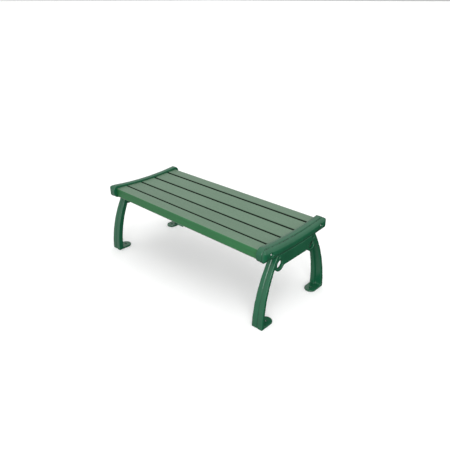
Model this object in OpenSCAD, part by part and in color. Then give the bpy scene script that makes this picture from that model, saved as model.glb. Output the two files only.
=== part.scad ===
// Backless park bench: five plastic planks carried by two cast end frames.
// X runs along the planks, Y from front to back, Z up from the ground.

/* [Seat] */
// Distance over the outer faces of the feet
bench_length = 1219; // [1000:1:1500]
// Height of the middle plank's upper face
seat_height = 403; // [385:1:440]
// Radius of the gentle hollow across the seat
dish_radius = 2019; // [1500:1:3000]

/* [Planks] */
// Thickness of every plank
plank_thickness = 56; // [50:0.5:57]
// Width of the three inner planks
inner_plank_width = 97; // [94:0.5:98]
// Width of the front and rear planks
outer_plank_width = 68.5; // [66:0.5:70]
// Gap between neighbouring planks
plank_gap = 10.5; // [9:0.5:12]
// Radius of the upper long edges
plank_top_radius = 5; // [3:0.5:7]
// Radius of the lower long edges
plank_bottom_radius = 10; // [7:0.5:12]
// Tilt of the planks on either side of the middle one, in degrees
inner_plank_tilt = 3.05; // [2:0.05:4]
// Tilt of the front and rear planks, in degrees
outer_plank_tilt = 1; // [0:0.1:2]

/* [End rails] */
// Width of a rail along the bench
rail_width = 53.5; // [52:0.5:57]
// Height of a rail's cross-section
rail_height = 72; // [70:0.5:76]
// How far the rail stands above the planks
rail_rise = 9.5; // [8:0.5:11]
// Length of plank end held inside a rail
socket_depth = 24; // [20:0.5:25]
// Thickness of the rail's nose in front of the front plank
rail_nose = 22; // [15:0.5:24]

/* [Leg frames] */
// Width of a leg at the ground
foot_width = 65; // [62:0.5:70]
// Width of a leg under the rail
leg_top_width = 46; // [42:0.5:48]
// Thickness of a leg's section from front to back
leg_thickness = 17.5; // [15:0.5:20]
// Depth of the rib along a leg's inner side edge
leg_rib_depth = 29; // [24:0.5:34]
// Radius of the bow of a leg's outer face
leg_bow_radius = 670; // [620:1:720]
// Distance over the outer faces of the front and rear feet
foot_spread = 533; // [520:1:545]
// Diameter of the hole in each foot for a ground anchor
anchor_hole_d = 13; // [11:0.5:14]
// Thickness of the plate under each leg
foot_plate_thickness = 10; // [8:0.5:12]
// Outer radius of the ring at the top of each leg
ring_radius = 36; // [33:0.5:38]
// Thickness of the ring's wall
ring_wall = 14; // [12:0.5:16]

/* [Fasteners] */
// Shank diameter of the wood screws
screw_shank_d = 6; // [5:0.5:7]
// Head diameter of the screws in the rail ends
end_screw_head_d = 11; // [10:0.5:13]
// Length of the screws in the rail ends
end_screw_length = 60; // [45:1:70]
// Length of the screws that enter the planks from below
seat_screw_length = 45; // [40:1:50]

/* [Hidden] */

plank_green = "#7fa884";
casting_green = "#1f6b4a";
steel_grey = "#c8ccd0";

fit = 0.3;
cut = 1;
bite = 2;
round_facets = 48;
sweep_facets = 720;

// Where a leg frame stands along the bench, and how far in its rail begins
leg_x = (bench_length - foot_width) / 2;
rail_shift = 1.5;
rail_in = leg_x - rail_width / 2 - rail_shift;

// Planks
plank_pitch = inner_plank_width + plank_gap;
outer_gap_y = 1.5 * plank_pitch;
outer_plank_y = outer_gap_y + plank_gap / 2 + outer_plank_width / 2;
seat_edge_y = outer_plank_y + outer_plank_width / 2;
plank_end_x = rail_in + socket_depth;

function dish(y) = dish_radius - sqrt(dish_radius * dish_radius - y * y);

plank_ys = [-outer_plank_y, -plank_pitch, 0, plank_pitch, outer_plank_y];
plank_widths = [
  outer_plank_width, inner_plank_width, inner_plank_width, inner_plank_width, outer_plank_width
];
plank_tilts = [-outer_plank_tilt, -inner_plank_tilt, 0, inner_plank_tilt, outer_plank_tilt];
outer_plank_z = dish(outer_gap_y) + tan(outer_plank_tilt) * (outer_plank_y - outer_gap_y);
plank_rises = [outer_plank_z, dish(plank_pitch), 0, dish(plank_pitch), outer_plank_z];

// End rails
rail_reach_y = seat_edge_y + rail_nose;
rail_top = seat_height + rail_rise;
rail_bottom = rail_top - rail_height;
strip_width = 31;
crest_radius = 26;
crest_drop = 2;
belly_radius = 38;
groove_radius = 2;
groove_overlap = 0.7;
nose_top_radius = 34;
nose_bottom_radius = 30;
nose_plan_radius = 22;
end_screw_shift = 4.5;
end_screw_y = outer_plank_y + end_screw_shift;
end_screw_drop = 17;
end_screw_z = seat_height + outer_plank_z - end_screw_drop;
end_screw_setback = 10.5;
end_screw_seat_x = rail_in + rail_width - end_screw_setback;
end_screw_recess_d = 23;
end_screw_head = 4;

// Leg frames
bow_axis_y = foot_spread / 2 - leg_bow_radius;
frame_reach = rail_top - rail_height / 2;
leg_top_angle = asin(frame_reach / leg_bow_radius);
leg_groove_width = 7;
leg_rib_shift = 4;
leg_rib_width = foot_width / 2 - leg_rib_shift;
foot_plate_reach = 102;
foot_fillet = 14;
ankle_y = foot_spread / 2 - leg_thickness;
ankle_height = foot_plate_thickness + foot_fillet;
anchor_y = foot_spread / 2 - foot_plate_reach + foot_width / 2;
flange_thickness = 8;
flange_inset = 2;
web_setback = 1;
web_out = leg_x + leg_top_width / 2 - web_setback;
web_thickness = 10;
web_height = 45.5;
web_bottom = rail_bottom - web_height;
ring_depth = 16;
ring_y = 134;
ring_drop = 29.5;
ring_z = rail_bottom - ring_drop;
flange_reach_y = ring_y + flange_thickness;

// Fasteners
seat_screw_x = rail_in + socket_depth / 2;
seat_screw_seat = rail_height - rail_rise - plank_thickness + flange_thickness + fit;
inner_planks = [1, 2, 3];
seat_screw_head_d = 12;
seat_screw_head = 5;
washer_d = 18;
washer_thickness = 1.6;
batten_width = 40;
batten_thickness = 10;
batten_screw_length = 35;
batten_screw_head_d = 11;
batten_screw_head = 3.5;

// A bar's cross-section with large lower and small upper corner radii, its top on the X axis
module plank_outline(width, grow = 0) {
  top_r = plank_top_radius + grow;
  bottom_r = plank_bottom_radius + grow;
  half = width / 2 + grow;
  floor_y = -plank_thickness;
  translate([-half, floor_y + bottom_r])
    square([2 * half, plank_thickness + grow - bottom_r - top_r]);
  translate([top_r - half, floor_y + bottom_r])
    square([2 * (half - top_r), plank_thickness + grow - bottom_r]);
  translate([bottom_r - half, floor_y]) square([2 * (half - bottom_r), bottom_r + cut]);
  for (side = [-1, 1]) {
    translate([side * (half - top_r), grow - top_r]) circle(r = top_r, $fn = round_facets);
    translate([side * (half - bottom_r), floor_y + bottom_r]) circle(r = bottom_r, $fn = round_facets);
  }
}

// Moves to a plank's own frame: its upper face on Z = 0, its length along X
module at_plank(i) {
  translate([0, plank_ys[i], seat_height + plank_rises[i]]) rotate([plank_tilts[i], 0, 0]) children();
}

module plank_bar(i, length, grow = 0) {
  at_plank(i)
    translate([-length / 2, 0, 0])
      rotate([90, 0, 90])
        linear_extrude(height = length) plank_outline(plank_widths[i], grow);
}

// Moves to the seat of an end screw, with Z pointing along the screw into the plank
module at_end_screw(side, row) {
  translate([side * end_screw_seat_x, row * end_screw_y, end_screw_z])
    rotate([0, -90 * side, 0]) children();
}

// Moves to the seat of a screw that enters an inner plank from below
module at_seat_screw(i, side) {
  at_plank(i) translate([side * seat_screw_x, 0, -plank_thickness - seat_screw_seat]) children();
}

// Moves to the seat of a screw that enters a plank through the batten
module at_batten_screw(i) {
  at_plank(i) translate([0, 0, -plank_thickness - batten_thickness]) children();
}

module screw_hole(length) {
  translate([0, 0, -cut]) cylinder(d = screw_shank_d + fit, h = length + cut + fit, $fn = round_facets);
}

module screw(length, head_d, head_height) {
  cylinder(d = screw_shank_d, h = length, $fn = round_facets);
  translate([0, 0, -head_height]) cylinder(d = head_d, h = head_height, $fn = round_facets);
}

module inner_plank(i) {
  color(plank_green)
    difference() {
      plank_bar(i, 2 * plank_end_x);
      for (side = [-1, 1]) at_seat_screw(i, side) screw_hole(seat_screw_length);
      at_batten_screw(i) screw_hole(batten_screw_length);
    }
}

module outer_plank(i) {
  color(plank_green)
    difference() {
      plank_bar(i, 2 * plank_end_x);
      for (side = [-1, 1]) at_end_screw(side, sign(plank_ys[i])) screw_hole(end_screw_length);
      at_batten_screw(i) screw_hole(batten_screw_length);
    }
}

// Sweeps a section, drawn as (distance below the arc, distance outward), along the dished arc
module dished_sweep(top_z, radius = dish_radius) {
  sweep_angle = 2 * asin((rail_reach_y + 3 * cut) / radius);
  translate([rail_in, 0, top_z + radius])
    rotate([0, 90, 0])
      rotate([0, 0, -sweep_angle / 2])
        rotate_extrude(angle = sweep_angle, $fn = sweep_facets) translate([radius, 0]) children();
}

// A rail's full section: flat inner strip, then a crest that rounds over into a deep belly
module rail_block() {
  belly_x = rail_width - belly_radius;
  belly_drop = rail_height - belly_radius;
  crest_x = rail_width - crest_radius;
  polygon([
    [0, 0],
    [rail_height, 0],
    [rail_height, belly_x],
    [belly_drop, rail_width],
    [crest_drop + crest_radius, rail_width],
    [crest_drop, strip_width],
    [0, strip_width]
  ]);
  translate([belly_drop, belly_x]) circle(r = belly_radius, $fn = 2 * round_facets);
  translate([crest_drop + crest_radius, crest_x]) circle(r = crest_radius, $fn = 2 * round_facets);
}

module rail_section() {
  difference() {
    rail_block();
    translate([groove_overlap, strip_width + groove_radius - groove_overlap])
      circle(r = groove_radius, $fn = round_facets);
  }
}

// Side outline of a rail: the nose at each end is rounded above and below
module rail_side_outline() {
  low = rail_bottom - cut;
  high = rail_top + dish(rail_reach_y);
  top_y = rail_reach_y - nose_top_radius;
  low_y = rail_reach_y - nose_bottom_radius;
  low_z = rail_bottom + dish(low_y) + nose_bottom_radius;
  translate([-top_y, low]) square([2 * top_y, high - low + cut]);
  translate([-rail_reach_y, low_z]) square([2 * rail_reach_y, high - nose_top_radius - low_z]);
  translate([-low_y, low]) square([2 * low_y, high - nose_top_radius - low]);
  for (side = [-1, 1]) {
    translate([side * top_y, high - nose_top_radius]) circle(r = nose_top_radius, $fn = round_facets);
    translate([side * low_y, low_z]) circle(r = nose_bottom_radius, $fn = round_facets);
  }
}

// Top view of a rail: the outer corners are rounded, and the outer side stays clear of the belly
module rail_plan_outline() {
  round_x = rail_width + cut - nose_plan_radius;
  round_y = rail_reach_y - nose_plan_radius;
  translate([0, -rail_reach_y]) square([round_x, 2 * rail_reach_y]);
  translate([0, -round_y]) square([rail_width + cut, 2 * round_y]);
  for (side = [-1, 1]) translate([round_x, side * round_y]) circle(r = nose_plan_radius, $fn = round_facets);
}

module end_rail() {
  difference() {
    intersection() {
      dished_sweep(rail_top) rail_section();
      translate([rail_in - cut, 0, 0])
        rotate([90, 0, 90]) linear_extrude(height = rail_width + 2 * cut) rail_side_outline();
      translate([rail_in, 0, rail_bottom - cut])
        linear_extrude(height = 2 * rail_height) rail_plan_outline();
    }
    for (i = [0 : len(plank_ys) - 1]) plank_bar(i, 2 * plank_end_x, fit);
    for (row = [-1, 1]) at_end_screw(1, row) {
      screw_hole(end_screw_length);
      translate([0, 0, -rail_width]) cylinder(d = end_screw_recess_d, h = rail_width, $fn = round_facets);
    }
    for (i = inner_planks) at_seat_screw(i, 1) screw_hole(seat_screw_length);
  }
}

// Sweeps a section, drawn as (radius, distance along the bench), along a leg's bow
module bow_sweep(top_angle) {
  translate([0, bow_axis_y, 0])
    rotate([90, 0, 90])
      rotate_extrude(angle = top_angle, $fn = sweep_facets) children();
}

// Front view of a leg: narrow under the rail, wide at the ground
module leg_front_outline() {
  polygon([
    [leg_x - foot_width / 2, 0],
    [leg_x + foot_width / 2, 0],
    [leg_x + foot_width / 2, ankle_height],
    [leg_x + leg_top_width / 2, rail_bottom],
    [leg_x + leg_top_width / 2, rail_top],
    [leg_x - leg_top_width / 2, rail_top],
    [leg_x - leg_top_width / 2, rail_bottom],
    [leg_x - foot_width / 2, ankle_height]
  ]);
}

// The rear leg: a bowed plate with a groove outside and a rib along its inner side edge
module leg() {
  plate_radius = leg_bow_radius - leg_thickness;
  rib_radius = leg_bow_radius - leg_rib_depth;
  side_x = leg_x - foot_width / 2;
  difference() {
    intersection() {
      bow_sweep(leg_top_angle) {
        translate([plate_radius, side_x]) square([leg_thickness, foot_width]);
        translate([rib_radius, side_x]) square([leg_rib_depth - bite, leg_rib_width]);
      }
      rotate([90, 0, 0])
        translate([0, 0, -foot_spread]) linear_extrude(height = 2 * foot_spread) leg_front_outline();
    }
    bow_sweep(leg_top_angle)
      translate([leg_bow_radius, leg_x]) circle(d = leg_groove_width, $fn = round_facets);
  }
}

// The plate under the rear leg, with a fillet up to the leg and a hole for a ground anchor
module foot_plate() {
  difference() {
    union() {
      translate([leg_x, anchor_y, 0]) cylinder(d = foot_width, h = foot_plate_thickness, $fn = 2 * round_facets);
      translate([leg_x - foot_width / 2, anchor_y, 0])
        cube([foot_width, ankle_y + cut - anchor_y, foot_plate_thickness]);
    }
    translate([leg_x, anchor_y, -cut])
      cylinder(d = anchor_hole_d, h = foot_plate_thickness + 2 * cut, $fn = round_facets);
  }
  ankle_fillet();
}

// Its hollow face runs a little way into the plate and the leg
module ankle_fillet() {
  difference() {
    translate([leg_x - foot_width / 2, ankle_y - foot_fillet, foot_plate_thickness - bite])
      cube([foot_width, foot_fillet + bite, foot_fillet + bite - cut]);
    translate([leg_x - foot_width, ankle_y - foot_fillet + cut, foot_plate_thickness + foot_fillet - cut])
      rotate([0, 90, 0]) cylinder(r = foot_fillet, h = 2 * foot_width, $fn = round_facets);
  }
}

module ring_at_top() {
  translate([web_out - ring_depth, ring_y, ring_z])
    rotate([0, 90, 0]) cylinder(r = ring_radius, h = ring_depth, $fn = 2 * round_facets);
}

module ring_hole() {
  translate([web_out - ring_depth - cut, ring_y, ring_z])
    rotate([0, 90, 0])
      cylinder(r = ring_radius - ring_wall, h = ring_depth + 2 * cut, $fn = 2 * round_facets);
}

// Web between the rings, drawn up into the rail
module cross_beam() {
  translate([web_out - web_thickness, -ring_y, web_bottom])
    cube([web_thickness, 2 * ring_y, frame_reach - web_bottom]);
}

// Cradle under the rail, its outer edge buried in the web
module saddle_flange() {
  dished_sweep(rail_top)
    translate([rail_height / 2, flange_inset])
      square([rail_height / 2 + flange_thickness, web_out - web_thickness / 2 - rail_in - flange_inset]);
}

module leg_frame() {
  difference() {
    union() {
      for (turn = [0, 1]) mirror([0, turn, 0]) {
        leg();
        foot_plate();
        ring_at_top();
      }
      cross_beam();
      intersection() {
        saddle_flange();
        translate([0, -flange_reach_y, 0]) cube([bench_length, 2 * flange_reach_y, 2 * seat_height]);
      }
    }
    for (turn = [0, 1]) mirror([0, turn, 0]) ring_hole();
    dished_sweep(rail_top) rail_block();
    for (i = inner_planks) at_seat_screw(i, 1) screw_hole(seat_screw_length);
  }
}

// Bar across the middle of the bench, bent to lie against the planks' undersides
module seat_batten_outline() {
  points = [
    for (i = [0 : len(plank_ys) - 1], side = [-1, 1])
      [
        plank_ys[i] + side * batten_flat(i) * cos(plank_tilts[i]) + plank_thickness * sin(plank_tilts[i]),
        seat_height + plank_rises[i] + side * batten_flat(i) * sin(plank_tilts[i])
          - plank_thickness * cos(plank_tilts[i])
      ]
  ];
  lower = [for (i = [len(points) - 1 : -1 : 0]) points[i] - [0, batten_thickness]];
  polygon(concat(points, lower));
}

function batten_flat(i) = plank_widths[i] / 2 - plank_bottom_radius;

module seat_batten() {
  color(casting_green)
    difference() {
      translate([-batten_width / 2, 0, 0])
        rotate([90, 0, 90]) linear_extrude(height = batten_width) seat_batten_outline();
      for (i = [0 : len(plank_ys) - 1]) at_batten_screw(i) screw_hole(batten_screw_length);
    }
}

// Mirrors a right-hand piece to the end it belongs to: 1 for right, -1 for left
module on_side(side) {
  mirror([side < 0 ? 1 : 0, 0, 0]) children();
}

module rail_on(side) {
  color(casting_green) on_side(side) end_rail();
}

module frame_on(side) {
  color(casting_green) on_side(side) leg_frame();
}

module end_screws(side) {
  color(steel_grey)
    for (row = [-1, 1]) at_end_screw(side, row) screw(end_screw_length, end_screw_head_d, end_screw_head);
}

module seat_screws(side) {
  color(steel_grey)
    for (i = inner_planks) at_seat_screw(i, side)
      translate([0, 0, -washer_thickness]) screw(seat_screw_length, seat_screw_head_d, seat_screw_head);
}

module seat_washers(side) {
  color(steel_grey)
    for (i = inner_planks) at_seat_screw(i, side)
      translate([0, 0, -washer_thickness])
        difference() {
          cylinder(d = washer_d, h = washer_thickness, $fn = round_facets);
          translate([0, 0, -cut])
            cylinder(d = screw_shank_d + fit, h = washer_thickness + 2 * cut, $fn = round_facets);
        }
}

module batten_screws() {
  color(steel_grey)
    for (i = [0 : len(plank_ys) - 1]) at_batten_screw(i)
      screw(batten_screw_length, batten_screw_head_d, batten_screw_head);
}

outer_plank(0);  // front_plank
inner_plank(1);  // front_inner_plank
inner_plank(2);  // middle_plank
inner_plank(3);  // rear_inner_plank
outer_plank(4);  // rear_plank
rail_on(1);  // right_end_rail
rail_on(-1);  // left_end_rail
frame_on(1);  // right_leg_frame
frame_on(-1);  // left_leg_frame
seat_batten();
end_screws(1);  // right_end_screws
end_screws(-1);  // left_end_screws
seat_screws(1);  // right_seat_screws
seat_screws(-1);  // left_seat_screws
seat_washers(1);  // right_seat_washers
seat_washers(-1);  // left_seat_washers
batten_screws();
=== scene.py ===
"""Backless park bench: green plastic planks between two cast end frames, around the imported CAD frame."""
import math

import bmesh
import bpy
from mathutils import Matrix, Vector


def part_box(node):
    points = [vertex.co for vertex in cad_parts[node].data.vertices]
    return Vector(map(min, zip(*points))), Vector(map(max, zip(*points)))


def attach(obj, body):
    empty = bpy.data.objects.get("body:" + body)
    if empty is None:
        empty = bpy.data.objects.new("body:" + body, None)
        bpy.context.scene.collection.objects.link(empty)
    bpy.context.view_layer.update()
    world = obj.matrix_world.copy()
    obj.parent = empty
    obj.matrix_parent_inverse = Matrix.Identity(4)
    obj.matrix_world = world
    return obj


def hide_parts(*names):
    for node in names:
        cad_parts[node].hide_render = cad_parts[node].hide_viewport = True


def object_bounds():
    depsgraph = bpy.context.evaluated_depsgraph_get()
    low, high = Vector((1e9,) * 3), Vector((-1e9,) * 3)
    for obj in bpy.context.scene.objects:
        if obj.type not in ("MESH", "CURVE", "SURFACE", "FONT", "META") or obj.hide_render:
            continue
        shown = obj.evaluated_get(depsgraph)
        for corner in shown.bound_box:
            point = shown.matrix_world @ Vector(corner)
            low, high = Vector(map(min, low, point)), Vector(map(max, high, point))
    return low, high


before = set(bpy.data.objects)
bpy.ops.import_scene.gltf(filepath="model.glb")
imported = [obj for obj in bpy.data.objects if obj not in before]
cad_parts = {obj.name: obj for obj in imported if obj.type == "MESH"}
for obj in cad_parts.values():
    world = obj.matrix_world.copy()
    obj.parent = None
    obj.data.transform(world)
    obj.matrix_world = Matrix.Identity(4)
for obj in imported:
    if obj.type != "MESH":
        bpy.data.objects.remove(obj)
CAD_LOW, CAD_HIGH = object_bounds()

BODY = "root"
MM = 0.001
SIDES = ((1, "right"), (-1, "left"))
SEAT_FASTENERS = (
    "right_seat_screws", "left_seat_screws", "right_seat_washers", "left_seat_washers", "batten_screws",
)

# Each plank's brightness, and the directions along Y in which it faces a gap, where its side gets painted
# shade
PLANKS = {
    "front_plank": (1.0, (1.0,)),
    "front_inner_plank": (0.96, (-1.0, 1.0)),
    "middle_plank": (1.04, (-1.0, 1.0)),
    "rear_inner_plank": (1.0, (-1.0, 1.0)),
    "rear_plank": (0.98, (-1.0,)),
}


# Materials
# A range given to Nodes.span is (result at the start, result at the end, start, end).
# A bump is (strength, height).

# The sockets of a Mix node that mixes colours
MIX_FACTOR, MIX_FIRST, MIX_SECOND, MIX_RESULT = 0, 6, 7, 2


def link_or_set(tree, socket, value):
    if isinstance(value, bpy.types.NodeSocket):
        tree.links.new(value, socket)
    else:
        socket.default_value = value


def colour_ramp(tree, factor, stops):
    """A ramp from a list of (position, (red, green, blue))."""
    node = tree.nodes.new("ShaderNodeValToRGB")
    tree.links.new(factor, node.inputs["Fac"])
    elements = node.color_ramp.elements
    while len(elements) < len(stops):
        elements.new(0.5)
    for element, (position, colour) in zip(elements, stops):
        element.position = position
        element.color = (*colour, 1.0)
    return node.outputs["Color"]


class Nodes:
    """A new material, with a method for each kind of shader node that it uses."""

    def __init__(self, name):
        self.material = bpy.data.materials.new(name)
        self.material.use_nodes = True
        self.tree = self.material.node_tree
        self.shader = self.tree.nodes["Principled BSDF"]

    def add(self, kind, inputs=None, **settings):
        node = self.tree.nodes.new(kind)
        for key, value in settings.items():
            setattr(node, key, value)
        for key, value in (inputs or {}).items():
            link_or_set(self.tree, node.inputs[key], value)
        return node

    def place(self, scale):
        """Object coordinates, stretched by a scale for each axis."""
        coords = self.add("ShaderNodeTexCoord").outputs["Object"]
        return self.add("ShaderNodeMapping", {"Vector": coords, "Scale": scale}).outputs["Vector"]

    def noise(self, vector, scale, detail=4.0, roughness=0.55):
        values = {"Vector": vector, "Scale": scale, "Detail": detail, "Roughness": roughness}
        return self.add("ShaderNodeTexNoise", values).outputs["Fac"]

    def ramp(self, factor, first, second, start=0.3, end=0.7):
        return colour_ramp(self.tree, factor, ((start, first), (end, second)))

    def mix(self, factor, first, second, blend="MIX"):
        values = {MIX_FACTOR: factor, MIX_FIRST: first, MIX_SECOND: second}
        return self.add("ShaderNodeMix", values, data_type="RGBA", blend_type=blend).outputs[MIX_RESULT]

    def grey(self, value):
        values = {"Red": value, "Green": value, "Blue": value}
        return self.add("ShaderNodeCombineColor", values).outputs["Color"]

    def span(self, factor, low, high, start=0.0, end=1.0):
        """Maps the range from start to end onto the range from low to high."""
        values = {"Value": factor, "From Min": start, "From Max": end, "To Min": low, "To Max": high}
        return self.add("ShaderNodeMapRange", values).outputs["Result"]

    def times(self, first, second):
        return self.add("ShaderNodeMath", {0: first, 1: second}, operation="MULTIPLY").outputs["Value"]

    def facing(self, axis):
        """How far the surface faces along an axis: 1 towards it, -1 away from it."""
        normal = self.add("ShaderNodeNewGeometry").outputs["Normal"]
        return self.add("ShaderNodeSeparateXYZ", {"Vector": normal}).outputs[axis]

    def edge(self):
        """Half on a flat stretch, more on an edge and less in a crevice."""
        return self.add("ShaderNodeNewGeometry").outputs["Pointiness"]

    def bump(self, height, strength, distance, normal=None):
        values = {"Height": height, "Strength": strength, "Distance": distance}
        if normal:
            values["Normal"] = normal
        return self.add("ShaderNodeBump", values).outputs["Normal"]

    def set(self, **values):
        for key, value in values.items():
            link_or_set(self.tree, self.shader.inputs[key.replace("_", " ")], value)


PLASTIC_IOR = 1.5
PLANK_DEEP = (0.010, 0.098, 0.027)
PLANK_GREEN = (0.014, 0.132, 0.038)
# The pale colours of the upper face: partly weathering and dust, partly a painted sheen
PLANK_WORN_SHEEN = (0.082, 0.152, 0.092)
PLANK_CHALK_SHEEN = (0.130, 0.206, 0.145)
# A pale painted reflection on the lower rounded edge
PLANK_EDGE_REFLECTION = (0.150, 0.235, 0.165, 1.0)
# Painted shade for the underside and for the sides that face a gap
PLANK_PAINTED_SHADE = (0.0004, 0.0050, 0.0012, 1.0)

# How finely each pattern is drawn along, across and through a plank
STREAK_STRETCH = (1.3, 55.0, 55.0)
BRUSH_STRETCH = (170.0, 9.0, 9.0)
FLECK_STRETCH = (90.0, 240.0, 240.0)
CLOUD_STRETCH = (1.4, 4.0, 4.0)
PLANK_VARIATION = 7.0

# The ramp of the upper face's colour, weathering with a painted sheen
WORN_SHEEN_START, WORN_SHEEN_END = 0.36, 0.66
FLECK_RANGE = (0.0, 0.25, 0.5, 0.8)
# Where the upper face's weathering and painted sheen show, by tilt and by cloud
WEATHER_AND_SHEEN_BY_TILT = (0.0, 1.0, 0.45, 0.92)
WEATHER_AND_SHEEN_BY_CLOUD = (0.86, 1.0)
# Where the painted reflection on the lower edge shows, by tilt and by cloud
EDGE_REFLECTION_ABOVE = (0.0, 1.0, -0.12, -0.30)
EDGE_REFLECTION_BELOW = (1.0, 0.0, -0.50, -0.60)
EDGE_REFLECTION_BY_CLOUD = (0.45, 0.85)
# Where painted shade falls: the underside, and the sides that face a gap
PAINTED_SHADE_BELOW = (0.0, 0.9, -0.55, -0.68)
PAINTED_SHADE_IN_GAP = (0.0, 0.95, 0.45, 0.80)
SHADE_CHANGE = 0.06
PLANK_ROUGHNESS = (0.38, 0.58)
STREAK_BUMP = (0.4, 0.9 * MM)
BRUSH_BUMP = (0.25, 0.5 * MM)
FLECK_BUMP = (0.25, 0.4 * MM)


def varied(stretch, axis, shift):
    """A pattern's stretch, changed on one axis so that no two planks look alike."""
    changed = list(stretch)
    changed[axis] += shift
    return changed


def plank_material(name, shift, tone, gap_sides):
    """Recycled plastic: deep green on its sides, with a chalky brushed upper face streaked lengthways, its
    paleness partly weathering and dust and partly a painted sheen.

    The lower edge carries a pale painted reflection. Painted shade darkens the underside and the sides that
    face a gap.
    """
    m = Nodes(name)
    streak = m.noise(m.place(varied(STREAK_STRETCH, 1, shift)), 5.0, detail=7.0, roughness=0.62)
    brush = m.noise(m.place(varied(BRUSH_STRETCH, 1, shift)), 4.0, detail=3.0, roughness=0.6)
    fleck = m.noise(m.place(varied(FLECK_STRETCH, 2, shift)), 3.0, detail=2.0, roughness=0.5)
    cloud = m.noise(m.place(varied(CLOUD_STRETCH, 2, shift)), 2.5, detail=3.0)
    up = m.facing("Z")
    body = m.ramp(streak, PLANK_DEEP, PLANK_GREEN)
    wear_and_sheen = m.mix(0.5, m.grey(streak), m.grey(brush))
    worn_and_sheen = m.ramp(wear_and_sheen, PLANK_WORN_SHEEN, PLANK_CHALK_SHEEN, WORN_SHEEN_START, WORN_SHEEN_END)
    worn_and_sheen = m.mix(m.span(fleck, *FLECK_RANGE), worn_and_sheen, (*PLANK_GREEN, 1.0))
    # Painted sheen with weathering: faces that point up are made paler and chalkier
    weather_and_sheen = m.times(m.span(up, *WEATHER_AND_SHEEN_BY_TILT), m.span(cloud, *WEATHER_AND_SHEEN_BY_CLOUD))
    colour = m.mix(weather_and_sheen, body, worn_and_sheen)
    # Painted reflection: a pale band on the rounded lower edge, where it would mirror the pale floor
    edge_reflection = m.times(m.span(up, *EDGE_REFLECTION_ABOVE), m.span(up, *EDGE_REFLECTION_BELOW))
    colour = m.mix(m.times(edge_reflection, m.span(cloud, *EDGE_REFLECTION_BY_CLOUD)), colour, PLANK_EDGE_REFLECTION)
    # Painted shade: the underside is darkened
    colour = m.mix(m.span(up, *PAINTED_SHADE_BELOW), colour, PLANK_PAINTED_SHADE)
    # Painted shade: each side that faces a gap is darkened
    for gap_side in gap_sides:
        colour = m.mix(m.span(m.times(m.facing("Y"), gap_side), *PAINTED_SHADE_IN_GAP), colour, PLANK_PAINTED_SHADE)
    shade = m.span(cloud, (1.0 - SHADE_CHANGE) * tone, (1.0 + SHADE_CHANGE) * tone)
    colour = m.mix(1.0, colour, m.grey(shade), "MULTIPLY")
    grain = m.bump(brush, *BRUSH_BUMP, m.bump(streak, *STREAK_BUMP))
    m.set(
        Base_Color=colour, Roughness=m.span(streak, *PLANK_ROUGHNESS), IOR=PLASTIC_IOR,
        Normal=m.bump(fleck, *FLECK_BUMP, grain),
    )
    return m.material


CAST_GREEN = (0.0085, 0.092, 0.042)
CAST_DEEP = (0.0060, 0.074, 0.033)
CAST_RUB = (0.060, 0.190, 0.115, 1.0)
# Painted shade for crevices and grooves
CAST_CREVICE_SHADE = (0.0010, 0.0140, 0.0055, 1.0)
CAST_ROUGHNESS = (0.14, 0.24)
EVEN = (1.0, 1.0, 1.0)
PEEL_SCALE = 380.0
PEEL_BUMP = (0.14, 0.35 * MM)
CAST_CLOUD_SCALE = 8.0
RUB_BY_EDGE = (0.0, 0.55, 0.52, 0.60)
RUB_BY_CLOUD = (0.5, 1.0, 0.35, 0.6)
# Where painted shade darkens crevices, by pointiness
CREVICE_SHADE_RANGE = (0.9, 0.0, 0.43, 0.485)


def coating_material(name):
    """Glossy powder coat with a faint orange peel, rubbed paler along its edges, with painted shade
    darkening its crevices.
    """
    m = Nodes(name)
    level = m.place(EVEN)
    peel = m.noise(level, PEEL_SCALE, detail=2.0, roughness=0.5)
    cloud = m.noise(level, CAST_CLOUD_SCALE)
    edge = m.edge()
    colour = m.ramp(cloud, CAST_DEEP, CAST_GREEN)
    rub = m.times(m.span(edge, *RUB_BY_EDGE), m.span(cloud, *RUB_BY_CLOUD))
    colour = m.mix(rub, colour, CAST_RUB)
    # Painted shade: crevices and grooves are darkened
    colour = m.mix(m.span(edge, *CREVICE_SHADE_RANGE), colour, CAST_CREVICE_SHADE)
    m.set(
        Base_Color=colour, Roughness=m.span(cloud, *CAST_ROUGHNESS), IOR=PLASTIC_IOR,
        Normal=m.bump(peel, *PEEL_BUMP),
    )
    return m.material


STEEL_DULL = (0.86, 0.87, 0.88)
STEEL_BRIGHT = (0.95, 0.96, 0.97)
STEEL_ROUGHNESS = (0.28, 0.45)
TURNING_SCALE = 900.0
TURNING_BUMP = (0.1, 0.05 * MM)
SMEAR_SCALE = 120.0


def steel_material(name):
    """Bright stainless steel with fine turning marks."""
    m = Nodes(name)
    level = m.place(EVEN)
    mark = m.noise(level, TURNING_SCALE, detail=3.0, roughness=0.6)
    smear = m.noise(level, SMEAR_SCALE, detail=2.0)
    m.set(
        Base_Color=m.ramp(smear, STEEL_DULL, STEEL_BRIGHT), Metallic=1.0,
        Roughness=m.span(mark, *STEEL_ROUGHNESS), Normal=m.bump(mark, *TURNING_BUMP),
    )
    return m.material


# Pieces

def paint_node(name, material):
    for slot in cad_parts[name].material_slots:
        slot.material = material


def add_piece(name, mesh, material, slot, *nodes):
    """Adds a piece that rides on the bench and stands for the given CAD nodes."""
    mesh.materials.clear()
    mesh.materials.append(material)
    mesh.polygons.foreach_set("use_smooth", [True] * len(mesh.polygons))
    piece = bpy.data.objects.new(name, mesh)
    bpy.context.scene.collection.objects.link(piece)
    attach(piece, BODY)
    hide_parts(*nodes)


SMOOTH_FACTOR = 0.5


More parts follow.
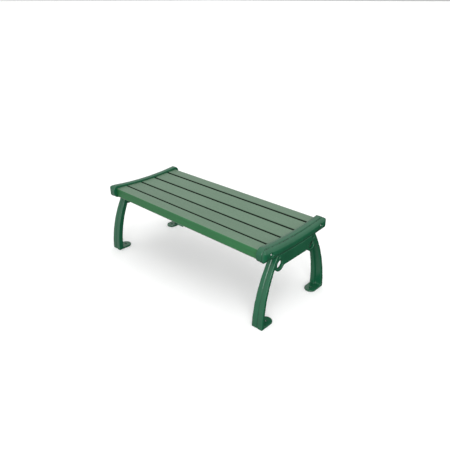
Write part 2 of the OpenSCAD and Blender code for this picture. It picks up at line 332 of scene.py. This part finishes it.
def cast_mesh(node, voxel, rounds):
    """A copy of a CAD node's mesh with the soft edges and blended corners of a sand casting."""
    copy = bpy.data.objects.new(node + "_cast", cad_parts[node].data.copy())
    copy.matrix_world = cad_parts[node].matrix_world
    bpy.context.scene.collection.objects.link(copy)
    remesh = copy.modifiers.new("remesh", "REMESH")
    remesh.mode = "VOXEL"
    remesh.voxel_size = voxel
    smooth = copy.modifiers.new("smooth", "SMOOTH")
    smooth.factor = SMOOTH_FACTOR
    smooth.iterations = rounds
    bpy.context.view_layer.update()
    solid = copy.evaluated_get(bpy.context.evaluated_depsgraph_get())
    mesh = bpy.data.meshes.new_from_object(solid)
    mesh.transform(copy.matrix_world)
    bpy.data.objects.remove(copy)
    return mesh


RAIL_VOXEL = 1.5 * MM
RAIL_ROUNDS = 6

# The groove's distance from the rail's inner face, and how much of its depth it has between the noses
GROOVE_X = 32.3 * MM
GROOVE_HALF_WIDTH = 2.3 * MM
GROOVE_REACH = 2.5
GROOVE_DEPTH = 3.2 * MM
GROOVE_SHARE_ON_TOP = 0.7
GROOVE_MIN_FACING = 0.4
NOSE_LENGTH = 26.0 * MM

# The noses droop in the lower, outer part of the rail: shares of its height from the top, and of its width
DROOP_LENGTH = 75.0 * MM
DROOP_DEPTH = 3.5 * MM
DROOP_FROM_TOP = (0.1875, 0.8125)
DROOP_FROM_INSIDE = (0.35, 0.85)


def smoothstep(value, start, end):
    share = min(1.0, max(0.0, (value - start) / (end - start)))
    return share * share * (3.0 - 2.0 * share)


def press_groove(mesh, side, inner, end_y):
    """Deepens the groove along the rail's top and carries it on down the front of both noses."""
    for vertex in mesh.vertices:
        nose = (abs(vertex.co.y) - end_y + NOSE_LENGTH) / (NOSE_LENGTH / 2)
        share = min(1.0, max(GROOVE_SHARE_ON_TOP, nose))
        offset = (side * vertex.co.x - inner - GROOVE_X) / GROOVE_HALF_WIDTH
        outside = vertex.normal.y * math.copysign(1.0, vertex.co.y) + vertex.normal.z
        if abs(offset) < GROOVE_REACH and outside > GROOVE_MIN_FACING:
            vertex.co -= vertex.normal * GROOVE_DEPTH * share * math.exp(-offset * offset)


def droop_noses(mesh, side, inner, low, high):
    for vertex in mesh.vertices:
        from_top = (high.z - vertex.co.z) / (high.z - low.z)
        from_inside = (side * vertex.co.x - inner) / (high.x - low.x)
        end = smoothstep(abs(vertex.co.y), high.y - DROOP_LENGTH, high.y)
        lower = smoothstep(from_top, *DROOP_FROM_TOP)
        outer = smoothstep(from_inside, *DROOP_FROM_INSIDE)
        vertex.co.z -= DROOP_DEPTH * end * lower * outer


def rail_piece(side, node, material):
    """An end rail with full, slightly drooping noses and one long groove."""
    mesh = cast_mesh(node, RAIL_VOXEL, RAIL_ROUNDS)
    low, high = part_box(node)
    inner = low.x if side > 0 else -high.x
    press_groove(mesh, side, inner, high.y)
    droop_noses(mesh, side, inner, low, high)
    add_piece(node + "_casting", mesh, material, "cast_coating", node)


FRAME_VOXEL = 2.0 * MM
FRAME_ROUNDS = 5


def leg_frame_piece(node, material):
    add_piece(node + "_casting", cast_mesh(node, FRAME_VOXEL, FRAME_ROUNDS), material, "cast_coating", node)


SCREW_SEGMENTS = 48
DOME_STEPS = 8

# An end screw's sizes, as shares of its head's radius
SCREW_HEAD_FIT = 0.995
SCREW_SHANK_SHARE = 0.55
SCREW_HEAD_HEIGHT_SHARE = 0.72
SOCKET_SHARE = 0.42

# Where the head's dome ends at its crown, and how high it begins at its rim
DOME_CROWN_SHARE = 0.62
DOME_RIM_SHARE = 0.35


def ring_loops(build, profile, place, segments):
    """Turns a profile of (radius, height) points about an axis and joins its rings into a skin."""
    loops = []
    for radius, height in profile:
        loop = []
        for step in range(segments):
            turn = 2 * math.pi * step / segments
            point = Vector((radius * math.cos(turn), radius * math.sin(turn), height))
            loop.append(build.verts.new(place @ point))
        loops.append(loop)
    for lower, upper in zip(loops, loops[1:]):
        for step in range(segments):
            after = (step + 1) % segments
            build.faces.new((lower[step], lower[after], upper[after], upper[step]))
    build.faces.new(list(reversed(loops[0])))
    build.faces.new(loops[-1])


def screw_profile(shank, head, head_height, length):
    """From the tip, up the shank, over a domed head with rounded rim, and into its socket."""
    socket = SOCKET_SHARE * head
    points = [
        (0.15 * shank, -length), (shank, 2.5 * shank - length), (shank, -0.2 * shank),
        (1.15 * shank, 0.0), (0.96 * head, 0.0),
    ]
    for step in range(DOME_STEPS + 1):
        turn = math.pi / 2 * step / DOME_STEPS
        radius = DOME_CROWN_SHARE + (1.0 - DOME_CROWN_SHARE) * math.cos(turn)
        height = DOME_RIM_SHARE + (1.0 - DOME_RIM_SHARE) * math.sin(turn)
        points.append((head * radius, head_height * height))
    points += [
        (1.12 * socket, 0.995 * head_height), (socket, 0.9 * head_height),
        (0.96 * socket, 0.35 * head_height), (0.3 * socket, 0.2 * head_height),
    ]
    return points


def end_screws_piece(side, node, material):
    """The two bright screws in the ends of a rail."""
    low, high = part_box(node)
    head = (high.z - low.z) / 2
    head_height = SCREW_HEAD_HEIGHT_SHARE * head
    length = high.x - low.x - head_height
    outer = high.x if side > 0 else -low.x
    profile = screw_profile(SCREW_SHANK_SHARE * head, SCREW_HEAD_FIT * head, head_height, length)
    mesh = bpy.data.meshes.new(node)
    build = bmesh.new()
    for row in (-1, 1):
        seat = Vector((side * (outer - head_height), row * (high.y - head), low.z + head))
        place = Matrix.Translation(seat) @ Matrix.Rotation(math.pi / 2 * side, 4, "Y")
        ring_loops(build, profile, place, SCREW_SEGMENTS)
    bmesh.ops.recalc_face_normals(build, faces=build.faces)
    build.to_mesh(mesh)
    build.free()
    add_piece(node + "_detail", mesh, material, "stainless", node)


# Stage: floor, light, sky and camera

FLOOR_SIZE = 300.0
FLOOR_GAP = 0.5 * MM
FLOOR_DARK = (0.95, 0.955, 0.95)
FLOOR_PALE = (0.97, 0.975, 0.97)
FLOOR_CLOUD_SCALE = 2.0
FLOOR_ROUGHNESS = 0.9


def floor_material():
    m = Nodes("floor_pale")
    cloud = m.noise(m.place(EVEN), FLOOR_CLOUD_SCALE, detail=3.0)
    m.set(Base_Color=m.ramp(cloud, FLOOR_DARK, FLOOR_PALE), Roughness=FLOOR_ROUGHNESS)
    return m.material


def make_floor():
    """A wide pale floor. The bench reflects the sky's lower half in its place."""
    mesh = bpy.data.meshes.new("floor")
    build = bmesh.new()
    bmesh.ops.create_grid(build, x_segments=2, y_segments=2, size=FLOOR_SIZE)
    build.to_mesh(mesh)
    build.free()
    mesh.materials.append(floor_material())
    floor = bpy.data.objects.new("floor", mesh)
    floor.location.z = CAD_LOW.z - FLOOR_GAP
    floor.visible_diffuse = False
    floor.visible_glossy = False
    bpy.context.scene.collection.objects.link(floor)


def aim(obj, target):
    obj.rotation_euler = (target - obj.location).to_track_quat("-Z", "Y").to_euler()


FILL_PLACE = (2.6, -2.8, 1.3)
FILL_SIZE = 3.0
FILL_POWER = 130.0


def make_fill_light():
    light = bpy.data.lights.new("fill", "AREA")
    light.shape = "DISK"
    light.size = FILL_SIZE
    light.energy = FILL_POWER
    lamp = bpy.data.objects.new("fill", light)
    lamp.location = FILL_PLACE
    bpy.context.scene.collection.objects.link(lamp)
    aim(lamp, Vector((0.0, 0.0, CAD_HIGH.z / 2)))


# Brightness of the studio from straight down, through the horizon, to overhead: at the back and at the front
SKY_BACK = ((0.0, 0.06), (0.485, 0.08), (0.505, 0.75), (0.70, 0.70), (0.84, 1.20), (1.0, 1.35))
SKY_FRONT = ((0.0, 0.12), (0.15, 0.45), (0.485, 0.85), (0.70, 0.80), (0.84, 1.20), (1.0, 1.35))
SKY_BRIGHTEST = max(level for _, level in SKY_BACK + SKY_FRONT)
SKY_FRONT_HEADING = (-0.68, -0.73, 0.0)
SKY_FRONT_FULL = 0.5


def sky_ramp(tree, height, sky):
    stops = [(position, (level / SKY_BRIGHTEST,) * 3) for position, level in sky]
    return colour_ramp(tree, height, stops)


def make_world():
    """A soft studio sky that changes with height, and is brighter below the horizon at the front."""
    world = bpy.data.worlds.new("studio")
    world.use_nodes = True
    tree = world.node_tree
    coords = tree.nodes.new("ShaderNodeTexCoord").outputs["Generated"]
    split = tree.nodes.new("ShaderNodeSeparateXYZ")
    tree.links.new(coords, split.inputs["Vector"])
    height = tree.nodes.new("ShaderNodeMapRange")
    height.inputs["From Min"].default_value = -1.0
    tree.links.new(split.outputs["Z"], height.inputs["Value"])
    heading = tree.nodes.new("ShaderNodeVectorMath")
    heading.operation = "DOT_PRODUCT"
    heading.inputs[1].default_value = SKY_FRONT_HEADING
    tree.links.new(coords, heading.inputs[0])
    front = tree.nodes.new("ShaderNodeMapRange")
    front.inputs["From Max"].default_value = SKY_FRONT_FULL
    tree.links.new(heading.outputs["Value"], front.inputs["Value"])
    blend = tree.nodes.new("ShaderNodeMix")
    blend.data_type = "RGBA"
    tree.links.new(front.outputs["Result"], blend.inputs[MIX_FACTOR])
    tree.links.new(sky_ramp(tree, height.outputs["Result"], SKY_BACK), blend.inputs[MIX_FIRST])
    tree.links.new(sky_ramp(tree, height.outputs["Result"], SKY_FRONT), blend.inputs[MIX_SECOND])
    background = tree.nodes["Background"]
    tree.links.new(blend.outputs[MIX_RESULT], background.inputs["Color"])
    background.inputs["Strength"].default_value = SKY_BRIGHTEST
    bpy.context.scene.world = world


# The view: heading and drop of the line of sight, and the point that it passes through
VIEW_AZIMUTH = math.radians(43.03)
VIEW_ELEVATION = math.radians(26.43)
VIEW_TARGET = Vector((0.0487, 0.0750, 0.2564))
VIEW_DISTANCE = 2.6406
VIEW_LENS = 36.46


def make_camera():
    data = bpy.data.cameras.new("camera")
    data.lens = VIEW_LENS
    data.clip_end = 2 * FLOOR_SIZE
    camera = bpy.data.objects.new("camera", data)
    back = Vector((
        math.sin(VIEW_AZIMUTH) * math.cos(VIEW_ELEVATION),
        -math.cos(VIEW_AZIMUTH) * math.cos(VIEW_ELEVATION),
        math.sin(VIEW_ELEVATION),
    ))
    camera.location = VIEW_TARGET + VIEW_DISTANCE * back
    bpy.context.scene.collection.objects.link(camera)
    aim(camera, VIEW_TARGET)
    bpy.context.scene.camera = camera


make_camera()
make_world()
make_floor()
make_fill_light()
bpy.context.scene.view_settings.view_transform = "Standard"

for index, (plank, (tone, gap_sides)) in enumerate(PLANKS.items()):
    paint_node(plank, plank_material(f"plank_plastic_{index}", PLANK_VARIATION * index, tone, gap_sides))
coat = coating_material("cast_coating")
steel = steel_material("stainless")
for side, name in SIDES:
    rail_piece(side, name + "_end_rail", coat)
    leg_frame_piece(name + "_leg_frame", coat)
    end_screws_piece(side, name + "_end_screws", steel)
paint_node("seat_batten", coat)
for name in SEAT_FASTENERS:
    paint_node(name, steel)
